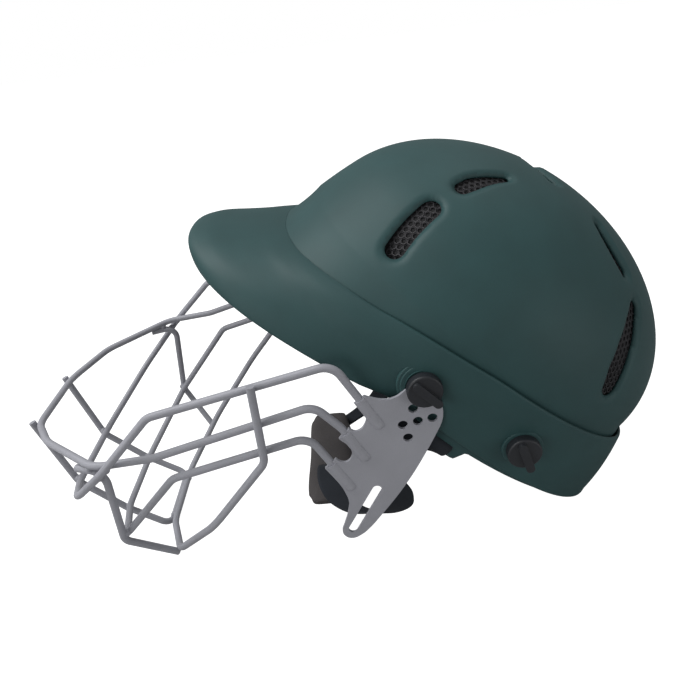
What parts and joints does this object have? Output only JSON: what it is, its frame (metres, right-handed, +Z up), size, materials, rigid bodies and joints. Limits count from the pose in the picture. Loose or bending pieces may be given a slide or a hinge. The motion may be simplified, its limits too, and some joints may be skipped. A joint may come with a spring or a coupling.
{
  "type": "cricket helmet",
  "caption": "Green cricket helmet with a broad peak, slotted vents, a grey wire face guard on side plates held by thumb screws, and a chin strap with a pad.",
  "frame": {"origin": "on the ground, below the middle of the helmet's overall box, as it stands on the chin end of its guard and the back of its rim", "axes": "+Z up, +X towards the wearer's left, -Y the way the peak and the guard point"},
  "size_m": [0.2206, 0.4327, 0.2577],
  "materials": {
    "shell_green": "satin dark green moulding",
    "mesh_black": "black plastic mesh",
    "liner_foam": "black foam",
    "pad_cloth": "black brushed cloth over foam",
    "chin_vinyl": "dark grey padded cloth",
    "strap_web": "ribbed dark webbing",
    "guard_grey": "grey powder-coated steel",
    "knob_black": "black satin plastic",
    "zinc_steel": "zinc-plated steel"
  },
  "bodies": {
    "helmet": {"dome_shell": "shell_green", "peak_and_skirt": "shell_green", "vent_mesh": "mesh_black", "liner": "liner_foam", "front_pad": "pad_cloth", "rear_pad": "pad_cloth", "side_pad_left": "pad_cloth", "side_pad_right": "pad_cloth", "crown_pad": "pad_cloth", "chin_pad": "chin_vinyl", "front_insert_left": "zinc_steel", "rear_insert_left": "zinc_steel", "chin_strap_left": "strap_web", "front_insert_right": "zinc_steel", "rear_insert_right": "zinc_steel", "chin_strap_right": "strap_web"},
    "face_guard": {"upper_bar": "guard_grey", "middle_bar": "guard_grey", "lower_bar": "guard_grey", "chin_bar": "guard_grey", "chin_hairpin": "guard_grey", "side_plate_left": "guard_grey", "strut_left": "guard_grey", "side_plate_right": "guard_grey", "strut_right": "guard_grey"},
    "front_thumb_screw_left": {"front_knob_left": "knob_black", "front_screw_left": "zinc_steel"},
    "rear_thumb_screw_left": {"rear_knob_left": "knob_black", "rear_screw_left": "zinc_steel"},
    "front_thumb_screw_right": {"front_knob_right": "knob_black", "front_screw_right": "zinc_steel"},
    "rear_thumb_screw_right": {"rear_knob_right": "knob_black", "rear_screw_right": "zinc_steel"}
  },
  "joints": [
    {"name": "guard_swing", "type": "hinge", "parent": "helmet", "child": "face_guard", "pos_m": [0, 0.05112, 0.14703], "axis": [-1, 0, 0], "range_deg": [-5, 20]},
    {"name": "front_screw_turn_left", "type": "hinge", "parent": "helmet", "child": "front_thumb_screw_left", "pos_m": [0.104, 0.05112, 0.14703], "axis": [1, 0, 0], "continuous": true},
    {"name": "rear_screw_turn_left", "type": "hinge", "parent": "helmet", "child": "rear_thumb_screw_left", "pos_m": [0.104, 0.10552, 0.09908], "axis": [1, 0, 0], "continuous": true},
    {"name": "front_screw_turn_right", "type": "hinge", "parent": "helmet", "child": "front_thumb_screw_right", "pos_m": [-0.104, 0.05112, 0.14703], "axis": [-1, 0, 0], "continuous": true},
    {"name": "rear_screw_turn_right", "type": "hinge", "parent": "helmet", "child": "rear_thumb_screw_right", "pos_m": [-0.104, 0.10552, 0.09908], "axis": [-1, 0, 0], "continuous": true}
  ]
}
